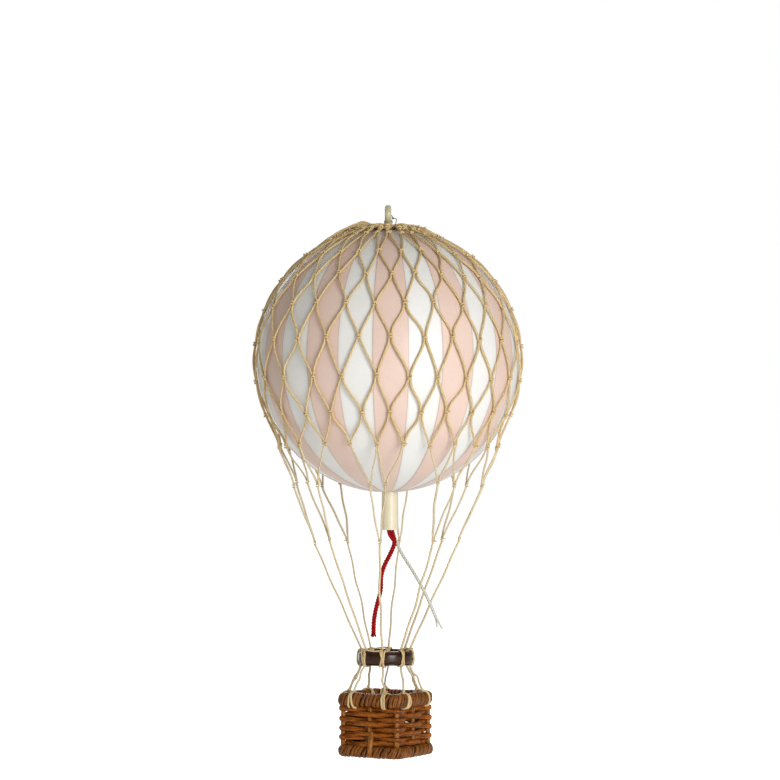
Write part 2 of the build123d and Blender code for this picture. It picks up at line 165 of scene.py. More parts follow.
# ---------------------------------------------------------------------------------------------------
# The two cords that hang out of the neck: cotton cord of three plies laid up hard, one dyed red and
# one left white, cut to length and left unwhipped, so that both ends have begun to open.
red_diameter = 1.15
white_diameter = 0.85
red_route = [
    (0.86, -0.08, -78.0),
    (0.96, -0.16, -81.4),
    (1.15, -0.08, -85.0),
    (2.20, 0.22, -87.9),
    (1.28, -0.70, -90.9),
    (-0.21, -1.52, -94.0),
    (-1.15, -1.89, -97.2),
    (-1.05, -1.77, -100.6),
    (-1.82, -2.34, -103.9),
    (-2.40, -2.92, -107.2),
    (-2.66, -3.18, -110.3),
    (-2.58, -3.18, -112.2),
]
white_route = [
    (0.22, 0.71, -78.0),
    (0.38, 0.74, -81.2),
    (0.82, 0.88, -85.0),
    (1.93, 1.25, -88.2),
    (4.06, 0.99, -91.6),
    (6.87, 0.55, -94.9),
    (9.40, 0.18, -98.2),
    (11.58, -0.17, -101.4),
    (13.46, -0.22, -104.8),
    (14.94, -0.16, -108.0),
]


def node_group(name, wanted, made):
    """A new shader node group, with the sockets that it is given and the node that takes its results."""
    group = bpy.data.node_groups.new(name, "ShaderNodeTree")
    for way, sockets in (("INPUT", wanted), ("OUTPUT", made)):
        for label, kind in sockets.items():
            group.interface.new_socket(label, in_out=way, socket_type="NodeSocket" + kind)
    return group, group.nodes.new("NodeGroupInput").outputs, group.nodes.new("NodeGroupOutput")


def uneven_tone():
    """Shader node group: a colour that wanders between two tones, and the fine relief of the surface."""
    group, given, out = node_group(
        "uneven tone",
        {"Vector": "Vector", "Light": "Color", "Dark": "Color", "Broad": "Float", "Fine": "Float",
         "Mix": "Float"},
        {"Colour": "Color", "Height": "Float"},
    )
    broad, fine = (
        added(group, "TexNoise", {"Detail": 3, "Vector": given["Vector"], "Scale": given[scale]}).outputs[0]
        for scale in ("Broad", "Fine")
    )
    both = worked(group, "ADD", broad, fine)
    spread = added(group, "MapRange", {"Value": both, "From Min": 0.75, "From Max": 1.25})
    share = worked(group, "MULTIPLY", spread.outputs["Result"], given["Mix"])
    feed(out, {"Colour": mixed(group, share, given["Light"], given["Dark"]), "Height": fine})
    return group


def laid_plies():
    """Shader node group: the grooves between the plies of a twisted yarn, from the strand's own lay: their
    height, and a mask for the shade painted into them.
    """
    group, given, out = node_group(
        "laid plies",
        {"Lay": "Vector", "Plies": "Float", "Turns": "Float"},
        {"Height": "Float", "Groove": "Float"},
    )
    parts = added(group, "SeparateXYZ", {0: given["Lay"]}).outputs
    around = worked(group, "MULTIPLY", worked(group, "ARCTAN2", parts["Y"], parts["X"]), given["Plies"])
    along = worked(group, "MULTIPLY", parts["Z"], given["Turns"])
    wave = worked(group, "COSINE", worked(group, "ADD", around, along))
    hollow = worked(group, "MULTIPLY_ADD", wave, -0.5, 0.5)
    feed(out, {
        "Height": worked(group, "MULTIPLY_ADD", wave, 0.5, 0.5),
        "Groove": worked(group, "POWER", hollow, 2.0),
    })
    return group


tone_group = uneven_tone()
ply_group = laid_plies()
groove_shade_tone = 0.45  # of the dark tone, painted as shade at the bottom of a groove
fine_share = 0.3  # of the fine relief, on top of the plies
coat_roughness = 0.2


def surface(name, light, dark, broad, fine, roughness, relief=0.3, depth=0.02, mix=1.0, coat=0.0, gloss=0.5,
            along=None, plies=0, lay=1.6, groove=0.6):
    """A material in two tones with fine relief. along stretches the pattern on the strand's own lay, and
    plies and lay, in millimetres, twist the strand; groove sets how dark the shade painted in its grooves is."""
    material = bpy.data.materials.new(name)
    material.use_nodes = True
    tree = material.node_tree
    pattern = added(tree, "Group", {"Light": (*light, 1), "Dark": (*dark, 1), "Broad": broad, "Fine": fine,
                                    "Mix": mix}, node_tree=tone_group)
    colour, height = pattern.outputs["Colour"], pattern.outputs["Height"]
    if along:
        place = added(tree, "Attribute", attribute_name="lay").outputs["Vector"]
        feed(pattern, {"Vector": added(tree, "Mapping", {"Scale": along, "Vector": place}).outputs["Vector"]})
    else:
        feed(pattern, {"Vector": added(tree, "TexCoord").outputs["Object"]})
    if plies:
        twist = added(tree, "Group", {"Plies": plies, "Turns": 2 * pi / lay, "Lay": place},
                      node_tree=ply_group)
        # painted shade: the colour darkens towards the dark tone at the bottom of each groove between the
        # plies
        groove_shade = worked(tree, "MULTIPLY", twist.outputs["Groove"], groove)
        colour = mixed(tree, groove_shade, colour, (*(groove_shade_tone * value for value in dark), 1))
        height = worked(tree, "MULTIPLY_ADD", height, fine_share, twist.outputs["Height"])
    bump = added(tree, "Bump", {"Strength": relief, "Distance": depth * mm, "Height": height})
    feed(tree.nodes["Principled BSDF"], {
        "Roughness": roughness,
        "Coat Weight": coat,
        "Coat Roughness": coat_roughness,
        "Specular IOR Level": gloss,
        "Base Color": colour,
        "Normal": bump.outputs["Normal"],
    })
    return material


def edged(material, share, tone):
    """Mixes a darker tone into a material's colour where the share says."""
    shader = material.node_tree.nodes["Principled BSDF"]
    plain = shader.inputs["Base Color"].links[0].from_socket
    feed(shader, {"Base Color": mixed(material.node_tree, share, plain, (*tone, 1))})


def smooth_line(route, steps=24):
    """Points of the NURBS spline that has the route's points as its control points, in millimetres."""
    curve = bpy.data.curves.new("line", "CURVE")
    curve.dimensions = "3D"
    spline = curve.splines.new("NURBS")
    spline.points.add(len(route) - 1)
    for point, place in zip(spline.points, route):
        point.co = (*place, 1)
    spline.order_u = 3
    spline.use_endpoint_u = True
    spline.resolution_u = steps
    holder = bpy.data.objects.new("line", curve)
    scene.collection.objects.link(holder)
    mesh = bpy.data.meshes.new_from_object(holder)
    points = np.array([tuple(v.co) for v in mesh.vertices])
    bpy.data.objects.remove(holder)
    return points


def paced(points, step):
    """The same line with its points at an even step, its two ends among them."""
    points = np.asarray(points, float)
    marks = np.concatenate([[0], np.cumsum(np.linalg.norm(np.diff(points, axis=0), axis=1))])
    wanted = np.linspace(0, marks[-1], max(2, round(marks[-1] / step)) + 1)
    return np.stack([np.interp(wanted, marks, points[:, k]) for k in range(3)], axis=1)


def unit(vectors):
    """The same vectors, each one long."""
    return vectors / np.maximum(np.linalg.norm(vectors, axis=-1, keepdims=True), 1e-12)


def round_outline(radius, sides):
    """The section of a plain round strand."""
    return [(radius * cos(2 * pi * k / sides), radius * sin(2 * pi * k / sides)) for k in range(sides)]


def ply_outline(radius, plies, groove, sides=4):
    """The section of a laid cord, with a bulge for each ply."""
    points = []
    for k in range(plies * sides):
        turn = 2 * pi * k / (plies * sides)
        reach = radius * (1 - groove * abs(sin(plies * turn / 2)) ** 1.5)
        points.append((reach * cos(turn), reach * sin(turn)))
    return points


def flat_outline(across, thick):
    """The section of split cane: broad, with a flat back and a rounded face. x is across, y is outwards."""
    return [
        (across / 2, -thick * 0.2),
        (across * 0.4, thick * 0.35),
        (across * 0.15, thick * 0.5),
        (-across * 0.15, thick * 0.5),
        (-across * 0.4, thick * 0.35),
        (-across / 2, -thick * 0.2),
        (-across * 0.4, -thick * 0.5),
        (across * 0.4, -thick * 0.5),
    ]


between_lays = 17.3  # so that two runs of a piece don't show the same stretch of the pattern


def strands(name, runs, outline, lay=0.0):
    """A mesh with the outline drawn along each run. A run is its points in millimetres, and may have a facing
    for the outline at each point, a thickness at each point, and closed. With a lay, the outline turns once
    in that length. The attribute lay says where a point is round its strand and how far along it."""
    outline = np.array(outline, float)
    sides = len(outline)
    turn_of = np.arctan2(outline[:, 1], outline[:, 0])
    points_found, lays_found, faces, start = [], [], [], 0.0
    base = 0
    for run in runs:
        points = np.asarray(run["points"], float)
        closed = run.get("closed", False)
        count = len(points)
        if closed:
            ahead = unit(np.roll(points, -1, 0) - np.roll(points, 1, 0))
        else:
            ahead = unit(np.gradient(points, axis=0))
        if run.get("facing") is None:
            side = np.zeros_like(points)
            first = np.cross(ahead[0], (0, 0, 1.0))
            side[0] = unit(first if np.linalg.norm(first) > 0.2 else np.cross(ahead[0], (1.0, 0, 0)))
            for k in range(1, count):
                side[k] = unit(side[k - 1] - ahead[k] * np.dot(side[k - 1], ahead[k]))
            up = np.cross(ahead, side)
        else:
            up = unit(run["facing"] - ahead * np.sum(run["facing"] * ahead, axis=1, keepdims=True))
            side = np.cross(up, ahead)
        gone = np.concatenate([[0], np.cumsum(np.linalg.norm(np.diff(points, axis=0), axis=1))])
        thick = np.broadcast_to(np.asarray(run.get("thick", 1.0), float), (count,))
        spin = 2 * pi * gone / lay if lay else np.zeros(count)
        x = outline[None, :, 0] * np.cos(spin)[:, None] - outline[None, :, 1] * np.sin(spin)[:, None]
        y = outline[None, :, 0] * np.sin(spin)[:, None] + outline[None, :, 1] * np.cos(spin)[:, None]
        section = x[..., None] * side[:, None] + y[..., None] * up[:, None]
        ring = points[:, None] + thick[:, None, None] * section
        points_found.append(ring.reshape(-1, 3) * mm)
        around = np.broadcast_to(turn_of, (count, sides))
        length = np.broadcast_to((start + gone)[:, None], (count, sides))
        lays_found.append(np.stack([np.cos(around), np.sin(around), length], axis=-1).reshape(-1, 3))
        start += gone[-1] + between_lays
        here = base + np.arange(count if closed else count - 1)[:, None] * sides
        there = base + ((np.arange(len(here)) + 1) % count)[:, None] * sides
        j = np.arange(sides)[None]
        i = (j + 1) % sides
        quads = np.stack([here + j, here + i, there + i, there + j], axis=-1).reshape(-1, 4)
        faces.extend(quads.tolist())
        if not closed:
            faces.append([base + k for k in reversed(range(sides))])
            faces.append([base + (count - 1) * sides + k for k in range(sides)])
        base += count * sides
    mesh = bpy.data.meshes.new(name)
    mesh.from_pydata(np.concatenate(points_found).tolist(), [], faces)
    kept = mesh.attributes.new("lay", "FLOAT_VECTOR", "POINT")
    kept.data.foreach_set("vector", np.concatenate(lays_found).astype(np.float32).ravel())
    mesh.polygons.foreach_set("use_smooth", [len(face) == 4 for face in faces])
    mesh.update()
    piece = bpy.data.objects.new(name, mesh)
    scene.collection.objects.link(piece)
    return piece


def fixed(piece, body, slot, material, *nodes):
    """Gives a piece its material, the body that it rides on and the CAD nodes that it stands for."""
    piece.data.materials.append(material)
    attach(piece, body)
    if nodes:
        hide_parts(*nodes)
    return piece


def frayed(line, diameter, yarns, length, spread, seed):
    """The yarns of a cut end, which open out past it."""
    chance = random.Random(seed)
    tip, heading = line[-1], unit(line[-1] - line[-4])
    aside = unit(np.cross(heading, (0.3, 1.0, 0.1)))
    other = np.cross(heading, aside)
    runs = []
    for k in range(yarns):
        turn = 2 * pi * k / yarns + chance.uniform(-0.3, 0.3)
        out = aside * cos(turn) + other * sin(turn)
        root = tip - heading * diameter * 0.8 + out * diameter * 0.22
        end = tip + heading * length * chance.uniform(0.6, 1.0) + out * spread * chance.uniform(0.4, 1.0)
        middle = (root + end) / 2 - out * spread * 0.2
        points = paced(smooth_line([root, middle, end], 8), 0.15)
        runs.append({"points": points, "thick": np.linspace(1, 0.85, len(points))})
    return runs


def limp_cord(name, node, route, diameter, material, slot, yarns, length, spread, seed, folds=()):
    """One of the two cords, with its opened end and the yarn that is doubled back at the mouth."""
    line = smooth_line(route)
    body = strands(name, [{"points": paced(line, 0.15)}], ply_outline(diameter * 0.58, 3, 0.22), lay=2.3)
    opened = frayed(line, diameter, yarns, length, spread, seed)
    yarn_r = diameter * 0.62 / sqrt(yarns) * 0.8
    for fold in folds:
        points = paced(smooth_line(fold), 0.2)
        opened.append({"points": points, "thick": np.full(len(points), 0.44 * diameter / yarn_r)})
    end = strands(name + "_end", opened, round_outline(yarn_r, 8))
    for piece in (body, end):
        fixed(piece, "balloon", slot, material, node)


red_cotton = surface("red cotton", (0.55, 0.003, 0.006), (0.26, 0.001, 0.002), 2.0, 9.0, 0.8, relief=0.8,
                     depth=0.05, gloss=0.2, along=(1.2, 1.2, 0.6), plies=3, lay=2.3, groove=0.6)
white_cotton = surface("white cotton", (0.82, 0.82, 0.74), (0.64, 0.64, 0.53), 2.0, 9.0, 0.85, relief=0.6,
                       depth=0.04, gloss=0.3, along=(1.2, 1.2, 0.6), plies=3, lay=2.3, groove=0.2)
red_fold = [(0.3, -0.35, -83.6), (0.42, -0.42, -85.4), (1.2, -0.2, -86.9), (2.1, 0.15, -87.9)]
limp_cord("red_cord_yarn", "red_cord", red_route, red_diameter, red_cotton, "red_cotton", 11, 1.1, 1.1, 5,
          [red_fold])
limp_cord("white_cord_yarn", "white_cord", white_route, white_diameter, white_cotton, "white_cotton",
          2, 3.4, 1.1, 6)


# ---------------------------------------------------------------------------------------------------
# The hanger eye, moulded in greenish cream plastic, with its neck and flange. The pressed spring washer
# that grips its stem inside the ball keeps its made shape.
def coated(node, material):
    """Gives a part that keeps its made shape its material."""
    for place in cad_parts[node].material_slots:
        place.material = material


cream_plastic = surface("cream plastic", (0.66, 0.62, 0.43), (0.52, 0.48, 0.30), 300, 4000, 0.35, relief=0.15,
                        mix=0.8, coat=0.2)
spring_steel = surface("spring steel", (0.42, 0.42, 0.43), (0.25, 0.25, 0.26), 500, 6000, 0.35)
feed(spring_steel.node_tree.nodes["Principled BSDF"], {"Metallic": 1.0})
coated("push_nut", spring_steel)

eye_middle_r = 2.025
eye_section_r = 0.575
eye_thickness = 1.7
eye_turn = 30.0
neck_r = 1.1
neck_top = -2.2
flange_r = 1.5
flange_top = -3.98
flange_under = -4.38
bpy.ops.object.select_all(action="DESELECT")
bpy.ops.mesh.primitive_torus_add(
    major_radius=eye_middle_r * mm,
    minor_radius=eye_section_r * mm,
    major_segments=56,
    minor_segments=20,
)
eye = bpy.context.object
eye.name = "hanger_eye_moulding"
bpy.ops.object.mode_set(mode="EDIT")
bpy.ops.transform.resize(value=(1, 1, eye_thickness / (2 * eye_section_r)))
bpy.ops.object.mode_set(mode="OBJECT")
eye.rotation_euler = (0, pi / 2, radians(eye_turn))
for radius, low, high in ((neck_r, flange_top, neck_top), (flange_r, flange_under, flange_top)):
    bpy.ops.mesh.primitive_cylinder_add(
        vertices=40, radius=radius * mm, depth=(high - low) * mm, location=(0, 0, (high + low) / 2 * mm)
    )
    part = bpy.context.object
    softened = part.modifiers.new("edge", "BEVEL")
    softened.width = 0.12 * mm
    softened.segments = 3
    bpy.ops.object.modifier_apply(modifier=softened.name)
    part.select_set(True)
    eye.select_set(True)
    bpy.context.view_layer.objects.active = eye
    bpy.ops.object.join()
bpy.ops.object.transform_apply(location=True, rotation=True, scale=True)
bpy.ops.object.shade_smooth_by_angle(angle=radians(45))
fixed(eye, "balloon", "cream_plastic", cream_plastic, "hanger_eye")


# ---------------------------------------------------------------------------------------------------
# A thin linen thread passed through the eye and tied at its right, with one end cut short and one end
# left long enough to curve down on to the net.
thread_r = 0.13


def at(radius, longitude, z):
    """A point at a radius and direction about the ball's axis, in millimetres."""
    return np.array([radius * cos(radians(longitude)), radius * sin(radians(longitude)), z])


tie_thread = surface("tie thread", (0.42, 0.40, 0.24), (0.16, 0.15, 0.09), 1.5, 8.0, 0.75, relief=0.6,
                     along=(1.2, 1.2, 0.8), plies=2, lay=0.9)
axis = at(1, eye_turn, 0)
upright = np.array([0, 0, 1.0])
turns = [
    axis * (1.02 * cos(t) + 0.02 * t) + upright * (-eye_middle_r + 0.76 * sin(t))
    + at(0.06 * t - 0.3, eye_turn + 90, 0)
    for t in np.linspace(0, 3.6 * pi, 60)
]
knot_at = axis * 1.3 - upright * 0.95
knot = [knot_at + axis * 0.22 * cos(k) + upright * (0.2 * sin(k)) + at(0.05 * k - 0.2, eye_turn + 90, 0)
        for k in np.linspace(0, 3.4 * pi, 18)]
tail, stub = (
    smooth_line([knot_at] + [axis * out - upright * drop for out, drop in course], 6)
    for course in (((2.5, 0.9), (2.1, 2.4), (1.3, 4.0)), ((1.2, 0.5), (0.9, 0.15)))
)
thread = strands("crown_thread", [{"points": turns}, {"points": knot}, {"points": tail}, {"points": stub}],
                 round_outline(thread_r, 6))
fixed(thread, "balloon", "tie_thread", tie_thread, "crown_tie")


# ---------------------------------------------------------------------------------------------------
# The ball: two thin plastic shells that join on a lip at the equator, papered over with twenty-four
# gores of satin varnished paper. The pink gores are pasted last and lap a little over the white ones.
ball_z = -39.4
paper_r = 35.2
gore_pairs = 12
gore_step = 15.0
gore_start = -65.9
gore_lap = 0.12
gore_rows = 60
top_hole_r = 1.8
bottom_hole_r = 3.0


def on_ball(radius, longitude, latitude):
    """A point by its direction and height on a sphere about the ball's middle, in millimetres."""
    return at(radius * cos(radians(latitude)), longitude, ball_z + radius * sin(radians(latitude)))


def gore(edge, lap, radius, chance):
    """One gore as a grid of points, with how far each is from the gore's two long edges."""
    highest = degrees(acos(top_hole_r / radius))
    lowest = -degrees(acos(bottom_hole_r / radius))
    across = (0.0, 0.012, 0.05, 0.2, 0.5, 0.8, 0.95, 0.988, 1.0)
    points, inset = [], []
    for latitude in np.linspace(highest, lowest, gore_rows + 1):
        width = radians(gore_step) * radius * cos(radians(latitude))
        spare = min(lap, width * 0.2)
        for share in across:
            longitude = edge + gore_step * (share + (2 * share - 1) * spare / width)
            lift = 0.025 * sin(latitude * 0.31 + edge) * sin(pi * share) + chance.uniform(-0.006, 0.006)
            points.append(on_ball(radius + lift, longitude, latitude) * mm)
            inset.append(min(share, 1 - share) * width)
    columns = len(across)
    faces = []
    for row in range(gore_rows):
        for k in range(columns - 1):
            a = row * columns + k
            faces.append((a, a + columns, a + columns + 1, a + 1))
    return points, faces, inset


def papered(name, first, lap, radius, material, slot, node, seed):
    """Every second gore of the ball as one piece of thin paper."""
    chance = random.Random(seed)
    points, faces, inset = [], [], []
    for k in range(gore_pairs):
        more, sides, depths = gore(gore_start + gore_step * (first + 2 * k), lap, radius, chance)
        faces.extend(tuple(index + len(points) for index in side) for side in sides)
        points.extend(more)
        inset.extend(depths)
    mesh = bpy.data.meshes.new(name)
    mesh.from_pydata([tuple(p) for p in points], [], faces)
    mesh.attributes.new("inset", "FLOAT", "POINT").data.foreach_set("value", inset)
    piece = bpy.data.objects.new(name, mesh)
    scene.collection.objects.link(piece)
    bpy.ops.object.select_all(action="DESELECT")
    piece.select_set(True)
    bpy.context.view_layer.objects.active = piece
    thickness = piece.modifiers.new("paper", "SOLIDIFY")
    thickness.thickness = 0.1 * mm
    thickness.offset = -1
    bpy.ops.object.modifier_apply(modifier=thickness.name)
    bpy.ops.object.shade_smooth_by_angle(angle=radians(40))
    return fixed(piece, "balloon", slot, material, node)


def paper(name, light, dark, seam_and_shadow_tone, edge_width, edge_share):
    """Satin paper whose long edges show as a fine darker line, partly the seam itself and partly painted
    shadow beside the lapped edge.
    """
    material = surface(name, light, dark, 90, 2500, 0.42, relief=0.25, depth=0.03, mix=0.55, coat=0.15)
    tree = material.node_tree
    inset = added(tree, "Attribute", attribute_name="inset").outputs["Fac"]
    near = added(tree, "MapRange", {"Value": inset, "From Min": 0.0, "From Max": edge_width,
                                    "To Min": edge_share, "To Max": 0.0})
    # partly the seam's own line, partly painted shadow where the pink gores lap over the white
    edged(material, near.outputs["Result"], seam_and_shadow_tone)
    return material


pink_paper = paper("pink paper", (0.82, 0.63, 0.54), (0.73, 0.54, 0.46), (0.45, 0.36, 0.32), 0.4, 0.6)
white_paper = paper("white paper", (0.87, 0.87, 0.85), (0.79, 0.79, 0.77), (0.62, 0.60, 0.58), 0.9, 0.3)
papered("gore_papers_white", 1, 0.0, paper_r - 0.06, white_paper, "white_paper", "gores_white", 3)
papered("gore_papers_pink", 0, gore_lap, paper_r + 0.04, pink_paper, "pink_paper", "gores_pink", 4)
ball_plastic = surface("ball plastic", (0.78, 0.77, 0.74), (0.68, 0.67, 0.64), 60, 2000, 0.4)
coated("upper_shell", ball_plastic)
coated("lower_shell", ball_plastic)


# ---------------------------------------------------------------------------------------------------
# The neck tube, moulded in yellowish cream plastic and pushed into the ball, and the cork stopper up
# inside it that holds the two cords.
tube_plastic = surface("tube plastic", (0.84, 0.76, 0.57), (0.74, 0.65, 0.45), 200, 3000, 0.4, relief=0.15,
                       mix=0.7, coat=0.2)
plug_cork = surface("plug cork", (0.42, 0.27, 0.15), (0.16, 0.09, 0.05), 900, 5000, 0.85, relief=0.8)
coated("neck_tube", tube_plastic)
coated("cord_plug", plug_cork)


# ---------------------------------------------------------------------------------------------------
# The net: two-ply straw-coloured twine, knotted by hand into diamonds from a ring round the eye's neck
# to a last course that hangs off the ball. No two meshes are quite alike, and some twines are slack.
net_r = 35.8
twine_r = 0.3
columns = 24
half_step = 180 / columns
row_latitudes = [67.0, 50.5, 36.3, 22.1, 6.9, -9.1, -24.0]
first_row_phase = -59.1
second_row_phase = -66.6
crowding = 3.5
crowding_centre = -49.6
knot_stand = 36.02
crown_ring_r = 2.3
crown_ring_z = ball_z + 36.0
hem_r = 29.75
hem_z = -62.4
knot_aside = 0.42  # how far a knot may be off its even place
knot_above = 0.5
cut_end_share = 0.12  # of the knots show a cut end
straw_twine = surface("straw twine", (0.86, 0.68, 0.38), (0.61, 0.43, 0.19), 1.2, 7.0, 0.7, relief=0.8,
                      depth=0.06, gloss=0.3, along=(0.9, 0.9, 0.35), plies=2, lay=1.9, groove=0.28)
wander = random.Random(21)


def phase(row):
    """The direction of a row's first knot. Rows lie in the gaps of the row above."""
    return first_row_phase if row % 2 == 0 and row < len(row_latitudes) else second_row_phase


def column(longitude):
    """A knot's direction: its even direction, moved to where the columns crowd together."""
    return longitude - crowding * sin(2 * radians(longitude - crowding_centre))


def row_knots(row):
    """The directions and heights of a row's knots, each a little off its even place."""
    latitude = row_latitudes[row]
    aside = knot_aside / (paper_r * cos(radians(latitude)))
    above = knot_above / paper_r
    found = []
    for k in range(columns):
        longitude = column(phase(row) + 2 * half_step * k) + degrees(aside) * wander.uniform(-1, 1)
        found.append((longitude, latitude + degrees(above) * wander.uniform(-1, 1)))
    return found


knots = [row_knots(row) for row in range(len(row_latitudes))]


def bezier(a, b, c, d, count):
    """Points of a cubic curve, its ends among them."""
    t = np.linspace(0, 1, count)[:, None]
    a, b, c, d = (np.asarray(point, float) for point in (a, b, c, d))
    return (1 - t) ** 3 * a + 3 * (1 - t) ** 2 * t * b + 3 * (1 - t) * t**2 * c + t**3 * d


def draped(low, high, across, count=12):
    """A twine on the ball from a knot up to the next row's, which leaves both knots straight up or down."""
    def beside(knot, way, up):
        aside = way * 0.3 / (net_r * cos(radians(knot[1])))
        return knot[0] + degrees(aside), knot[1] + degrees(0.3 / net_r) * up

    start, end = beside(low, across, 1), beside(high, -across, -1)
    rise = end[1] - start[1]
    slack = wander.choice((0.06, 0.14, 0.2, 0.26, 0.3, 0.42))
    belly = wander.uniform(0.0, 0.28)
    bow = across * wander.uniform(-0.5, 0.7)
    line = bezier(
        start,
        (start[0] + bow * 0.5, start[1] + rise * slack),
        (end[0] + bow * 0.5, end[1] - rise * slack),
        end,
        count,
    )
    lift = net_r + belly * np.sin(np.linspace(0, pi, count))
    return {
        "points": [on_ball(r, longitude, latitude) for r, (longitude, latitude) in zip(lift, line)],
        "thick": wander.uniform(0.88, 1.08),
    }


def lifted(height):
    """A step straight up."""
    return np.array([0, 0, height])


def outwards(point):
    """The direction from the ball's axis to a point."""
    return np.array([point[0], point[1], 0.0])


def sideways(out):
    """The level direction square to the one given."""
    return unit(np.cross((0, 0, 1.0), out))


def hitch(centre, out, size=1.0):
    """A knot: the twine's end taken once and a half round the others, a little askew."""
    out = unit(np.asarray(out, float))
    side = sideways(out)
    up = np.cross(out, side)
    lean = wander.uniform(-0.35, 0.35)
    turns = np.linspace(0, 3.3 * pi, 15) + wander.uniform(0, 2 * pi)
    height = np.linspace(-0.55, 0.55, 15) * size
    points = [
        centre + side * (0.45 * size * cos(t) - lean * h) + out * 0.34 * size * sin(t)
        + up * (h + 0.2 * size * sin(t + 1))
        for t, h in zip(turns, height)
    ]
    return {"points": points, "thick": 0.86 * size}


def clipped(centre, out):
    """A cut end of twine that stands out of a knot."""
    out = unit(np.asarray(out, float))
    side = sideways(out) * wander.choice((-1, 1))
    tip = centre + side * wander.uniform(0.75, 1.0) + out * 0.35 + lifted(wander.uniform(-0.5, 0.5))
    line = bezier(centre, centre + side * 0.4, centre + side * 0.7 + out * 0.3, tip, 4)
    return {"points": line, "thick": 0.75}


def ball_knots(row):
    """The knots of a row on the ball, and the cut ends that some of them show."""
    runs = []
    for longitude, latitude in knots[row]:
        centre = on_ball(knot_stand, longitude, latitude)
        out = centre - lifted(ball_z)
        runs.append(hitch(centre, out))
        if wander.random() < cut_end_share:
            runs.append(clipped(centre, out))
    return runs


def knotted(name, runs, node, radius=twine_r, sides=6):
    """A course of the net that stays on the ball."""
    return fixed(strands(name, runs, round_outline(radius, sides)), "net", "straw_twine", straw_twine, node)


def over_ball(line, base, belly, power, thick):
    """A twine along a line of directions and heights on the ball, which stands off it between its ends."""
    lift = base + belly * np.sin(np.linspace(0, pi, len(line))) ** power
    return {"points": [on_ball(r, *place) for r, place in zip(lift, line)], "thick": thick}


top_latitude = degrees(acos((crown_ring_r + 0.35) / net_r))
loop_points = 40
strays = 22  # loose twines that cross the crown
crown_courses = ((196, 64, 1.5), (207, 58, 1.1), (214, 66, 1.7), (222, 60, 1.2), (203, 70, 2.1))
crown = ball_knots(0)
for longitude, latitude in knots[0]:
    spread = wander.uniform(-2.5, 2.5)
    line = bezier((longitude, latitude + 0.5), (longitude + wander.uniform(-2, 2), latitude + 5),
                  (longitude + spread, top_latitude - 5), (longitude + spread, top_latitude), 12)
    crown.append(over_ball(line, net_r + 0.12, wander.uniform(0.0, 0.5), 2, 1.05))
for level in (0.0, 0.42):
    radius, height = crown_ring_r - level * 0.4, crown_ring_z + level
    loop = [at(radius + 0.08 * sin(5 * t), degrees(t), height + 0.1 * sin(3 * t))
            for t in np.linspace(0, 2 * pi, loop_points, endpoint=False)]
    upward = np.tile((0, 0, 1.0), (loop_points, 1))
    crown.append({"points": loop, "closed": True, "facing": upward, "thick": 1.2})
for k in range(strays):
    start = k * 360 / strays + wander.uniform(-6, 6)
    sweep = wander.choice((-1, 1)) * wander.uniform(14, 46)
    low = wander.uniform(69, 79)
    line = bezier((start, top_latitude), (start + sweep * 0.2, top_latitude - 3), (start + sweep, low + 4),
                  (start + sweep, low), 12)
    crown.append(over_ball(line, net_r + 0.35, wander.uniform(0.2, 0.8), 1, 0.95))
for longitude, _ in knots[0]:
    nearer = 73.6 + wander.uniform(-1.0, 1.0)
    centre = on_ball(net_r + 0.6, longitude + wander.uniform(-3, 3), nearer)
    crown.append(hitch(centre, at(1.0, longitude, 0.6), 1.15))
for start, low, height in crown_courses:
    line = bezier((start, top_latitude), (start - 12, top_latitude - 5), (start + 10, low + 8),
                  (start + 2, low), 16)
    crown.append(over_ball(line, net_r + 0.3, height, 1.5, 1.0))
knotted("net_crown_twine", crown, "net_crown")
for row in range(1, len(row_latitudes)):
    course = ball_knots(row)
    for k, low in enumerate(knots[row]):
        for side in (-1, 1):
            step = (0 if side > 0 else -1) if row % 2 else (1 if side > 0 else 0)
            high = knots[row - 1][(k + step) % columns]
            turn = round((low[0] + side * half_step - high[0]) / 360) * 360
            course.append(draped(low, (high[0] + turn, high[1]), side))
    knotted(f"net_row_{row + 1}_twine", course, f"net_row_{row + 1}")


# ---------------------------------------------------------------------------------------------------
# The net's last course and the lines under it: twenty-four hanging knots gathered by threes into
# eight single lines of thinner twine. They cross the joint between the ball and the load ring.
line_r = 0.25
gather_count = 8
gather_r = 25.5
gather_z = -72.4
gather_half_angle = 5.0
join_r = 19.0
join_z = -87.7
knot_lift = 0.3  # from a knot's middle to where its lines leave it
hang = np.array([-0.55, -0.32, 0])
ring_top_z = -116.8
ring_middle_r = 6.55
line_twine = surface("line twine", (0.84, 0.72, 0.49), (0.62, 0.49, 0.28), 1.2, 7.0, 0.7, relief=0.8,
                     depth=0.05, gloss=0.3, along=(0.9, 0.9, 0.35), plies=2, lay=1.5, groove=0.25)


def shaken(point, amount):
    """The same point a little off its even place."""
    return point + np.array([wander.uniform(-amount, amount) for k in range(3)])


def slack_line(low, high, count, bow=0.5, ends=0.3):
    """A line between two knots that leaves each nearly upright and bows a little to one side."""
    low, high = np.asarray(low), np.asarray(high)
    length = np.linalg.norm(high - low)
    ahead = (high - low) / length
    push = np.cross(ahead, upright) * wander.uniform(-bow, bow)
    lower = low + (ahead * (1 - ends) + upright * ends) * length * 0.35 + push
    upper = high - (ahead * (1 - ends) + upright * ends) * length * 0.35 + push
    line = bezier(low, lower, upper, high, count)
    side = unit(np.cross(ahead, upright))
    t = np.linspace(0, 1, count)
    begin = wander.uniform(0, 2 * pi)
    wave = bow * 0.16 * np.sin(pi * t) * np.sin(2 * pi * t * length / 13 + begin)
    return line + wave[:, None] * side + 0.5 * np.roll(wave, 2)[:, None] * np.cross(side, ahead)


def crossing(name, runs, radius, node, material):
    """A course that hangs between the ball and the load ring."""
    piece = strands(name, runs, round_outline(radius, 6))
    piece.data.materials.append(material)
    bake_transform(piece)
    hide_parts(node)


